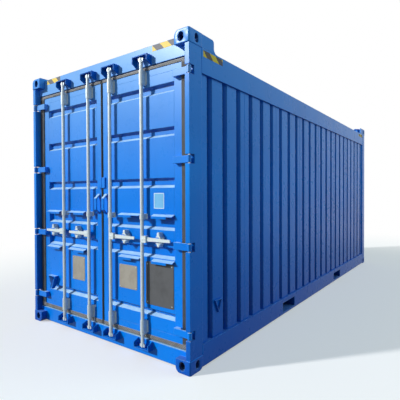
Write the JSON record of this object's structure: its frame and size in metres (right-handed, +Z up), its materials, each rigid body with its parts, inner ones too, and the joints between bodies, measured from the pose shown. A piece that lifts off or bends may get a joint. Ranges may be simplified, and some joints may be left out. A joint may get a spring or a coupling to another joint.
{
  "type": "shipping container",
  "caption": "Steel cargo container with corrugated walls, corner castings, lifting eyes, fork pockets and double end doors shut by locking bars with swing handles.",
  "frame": {"origin": "centre of the footprint, on the ground under the bottom castings", "axes": "+X along the length from the doors to the blind end, +Y across the width to the left of someone who faces the doors, +Z up"},
  "size_m": [6.058, 2.438, 2.896],
  "materials": {
    "blue_paint": "gloss",
    "galvanised": "satin",
    "rubber": "matte",
    "plywood": "matte",
    "pin_steel": "satin"
  },
  "bodies": {
    "frame": {"bottom_cam_keepers": "blue_paint", "bottom_corner_castings": "blue_paint", "cross_members": "blue_paint", "door_header": "blue_paint", "door_sill": "blue_paint", "end_header": "blue_paint", "end_sill": "blue_paint", "end_wall": "blue_paint", "floor": "plywood", "fork_pockets": "blue_paint", "hinge_pins": "pin_steel", "left_bottom_rail": "blue_paint", "left_door_post": "blue_paint", "left_end_post": "blue_paint", "left_side_wall": "blue_paint", "left_top_rail": "blue_paint", "lifting_padeyes": "blue_paint", "right_bottom_rail": "blue_paint", "right_door_post": "blue_paint", "right_end_post": "blue_paint", "right_side_wall": "blue_paint", "right_top_rail": "blue_paint", "roof": "blue_paint", "top_cam_keepers": "blue_paint", "top_corner_castings": "blue_paint", "wall_tie_eyes": "blue_paint"},
    "left_door": {"left_door_bar_guides": "galvanised", "left_door_fittings": "blue_paint", "left_door_frame": "blue_paint", "left_door_gasket": "rubber", "left_door_handle_catches": "galvanised", "left_door_hinge_blades": "blue_paint", "left_door_panel": "blue_paint"},
    "right_door": {"right_door_bar_guides": "galvanised", "right_door_fittings": "blue_paint", "right_door_frame": "blue_paint", "right_door_gasket": "rubber", "right_door_handle_catches": "galvanised", "right_door_hinge_blades": "blue_paint", "right_door_panel": "blue_paint"},
    "left_inner_bar": {"left_inner_locking_bar": "galvanised"},
    "left_outer_bar": {"left_outer_locking_bar": "galvanised"},
    "right_inner_bar": {"right_inner_locking_bar": "galvanised"},
    "right_outer_bar": {"right_outer_locking_bar": "galvanised"}
  },
  "joints": [
    {"name": "right_door_hinge", "type": "hinge", "parent": "frame", "child": "right_door", "pos_m": [-3.005, -1.197, 1.4415], "axis": [0, 0, 1], "range_deg": [0, 250]},
    {"name": "left_door_hinge", "type": "hinge", "parent": "frame", "child": "left_door", "pos_m": [-3.005, 1.197, 1.4415], "axis": [0, 0, -1], "range_deg": [0, 250]},
    {"name": "right_inner_bar_turn", "type": "hinge", "parent": "right_door", "child": "right_inner_bar", "pos_m": [-2.999, -0.174, 1.1045], "axis": [0, 0, 1], "range_deg": [-110, 0]},
    {"name": "right_outer_bar_turn", "type": "hinge", "parent": "right_door", "child": "right_outer_bar", "pos_m": [-2.999, -0.626, 1.1045], "axis": [0, 0, 1], "range_deg": [-110, 0]},
    {"name": "left_inner_bar_turn", "type": "hinge", "parent": "left_door", "child": "left_inner_bar", "pos_m": [-2.999, 0.174, 1.1045], "axis": [0, 0, -1], "range_deg": [-110, 0]},
    {"name": "left_outer_bar_turn", "type": "hinge", "parent": "left_door", "child": "left_outer_bar", "pos_m": [-2.999, 0.626, 1.1045], "axis": [0, 0, -1], "range_deg": [-110, 0]}
  ]
}
